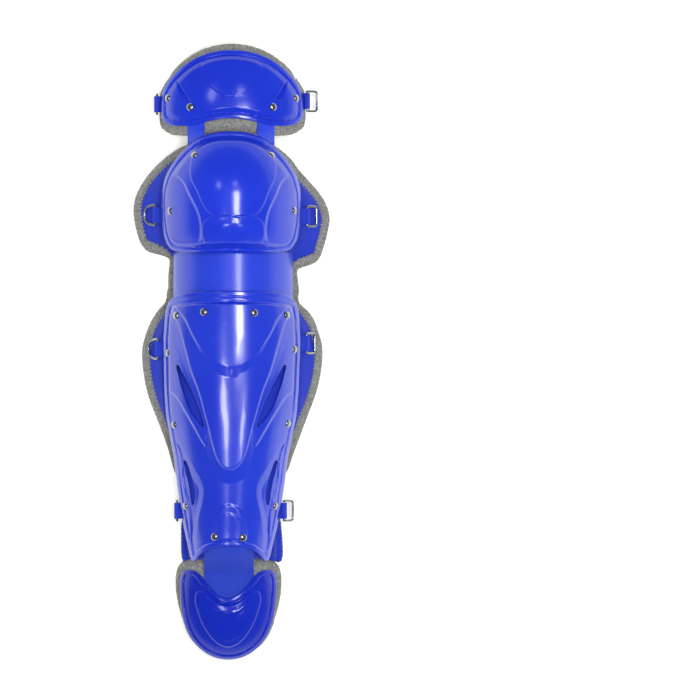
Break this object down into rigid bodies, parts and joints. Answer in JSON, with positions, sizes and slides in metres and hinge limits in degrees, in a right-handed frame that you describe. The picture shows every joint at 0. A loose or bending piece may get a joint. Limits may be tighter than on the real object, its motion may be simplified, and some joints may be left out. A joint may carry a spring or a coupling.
{
  "type": "baseball catcher leg guard",
  "caption": "Leg guard for one leg: plastic thigh cap, knee cap, shin shell and instep guard on lined foam pads with wings, joined by straps, with metal rings for leg straps.",
  "frame": {"origin": "middle of the object's box on the floor it lies on", "axes": "+Y from the toe to the thigh along the leg, +Z out of the front, +X to the right of someone who looks at the front"},
  "size_m": [0.2224, 0.6965, 0.1175],
  "materials": {
    "blue_shell": "glossy moulded royal blue",
    "lined_foam": "foam, royal blue woven face, warm grey knitted lining and bound edge",
    "blue_strap": "brighter blue coated webbing with a soft gloss",
    "blue_webbing": "blue webbing",
    "blue_weave": "coarse royal blue ballistic weave",
    "nickel": "bright nickel plate"
  },
  "bodies": {
    "guard": {"thigh_shell": "blue_shell", "knee_shell": "blue_shell", "shin_shell": "blue_shell", "toe_shell": "blue_shell", "thigh_pad": "lined_foam", "knee_pad": "lined_foam", "shin_pad": "lined_foam", "toe_pad": "lined_foam", "hinge_strap_left": "blue_strap", "hinge_strap_right": "blue_strap", "knee_band": "blue_strap", "ankle_strip": "blue_weave", "thigh_rivet_1": "nickel", "thigh_rivet_2": "nickel", "thigh_rivet_3": "nickel", "thigh_rivet_4": "nickel", "knee_rivet_1": "nickel", "knee_rivet_2": "nickel", "knee_rivet_3": "nickel", "knee_rivet_4": "nickel", "shin_rivet_1": "nickel", "shin_rivet_2": "nickel", "shin_rivet_3": "nickel", "shin_rivet_4": "nickel", "shin_rivet_5": "nickel", "shin_rivet_6": "nickel", "shin_rivet_7": "nickel", "shin_rivet_8": "nickel", "shin_rivet_9": "nickel", "shin_rivet_10": "nickel", "shin_rivet_11": "nickel", "shin_rivet_12": "nickel", "thigh_left_tab": "blue_webbing", "thigh_right_tab": "blue_webbing", "knee_left_tab": "blue_webbing", "knee_right_tab": "blue_webbing", "shin_left_tab": "blue_webbing", "shin_right_tab": "blue_webbing", "ankle_left_tab": "blue_webbing", "ankle_right_tab": "blue_webbing"},
    "thigh_left_ring": {"thigh_left_ring": "nickel"},
    "thigh_right_ring": {"thigh_right_ring": "nickel"},
    "knee_left_ring": {"knee_left_ring": "nickel"},
    "knee_right_ring": {"knee_right_ring": "nickel"},
    "shin_left_ring": {"shin_left_ring": "nickel"},
    "shin_right_ring": {"shin_right_ring": "nickel"},
    "ankle_left_ring": {"ankle_left_ring": "nickel"},
    "ankle_right_ring": {"ankle_right_ring": "nickel"}
  },
  "joints": [
    {"name": "thigh_left_swing", "type": "hinge", "parent": "guard", "child": "thigh_left_ring", "pos_m": [-0.0843, 0.28005, 0.02005], "axis": [0, 1, 0], "range_deg": [-8, 130]},
    {"name": "thigh_right_swing", "type": "hinge", "parent": "guard", "child": "thigh_right_ring", "pos_m": [0.0856, 0.28349, 0.02063], "axis": [0, -1, 0], "range_deg": [-60, 130]},
    {"name": "knee_left_swing", "type": "hinge", "parent": "guard", "child": "knee_left_ring", "pos_m": [-0.086, 0.15476, 0.02475], "axis": [0, 1, 0], "range_deg": [0, 135]},
    {"name": "knee_right_swing", "type": "hinge", "parent": "guard", "child": "knee_right_ring", "pos_m": [0.08575, 0.15338, 0.0248], "axis": [0, -1, 0], "range_deg": [0, 135]},
    {"name": "shin_left_swing", "type": "hinge", "parent": "guard", "child": "shin_left_ring", "pos_m": [-0.0833, 0.00357, 0.02378], "axis": [0, 1, 0], "range_deg": [0, 135]},
    {"name": "shin_right_swing", "type": "hinge", "parent": "guard", "child": "shin_right_ring", "pos_m": [0.08495, 0.01, 0.02261], "axis": [0, -1, 0], "range_deg": [0, 135]},
    {"name": "ankle_left_swing", "type": "hinge", "parent": "guard", "child": "ankle_left_ring", "pos_m": [-0.0615, -0.17911, 0.02405], "axis": [0, 1, 0], "range_deg": [-20, 130]},
    {"name": "ankle_right_swing", "type": "hinge", "parent": "guard", "child": "ankle_right_ring", "pos_m": [0.05965, -0.17911, 0.02415], "axis": [0, -1, 0], "range_deg": [-50, 130]}
  ]
}
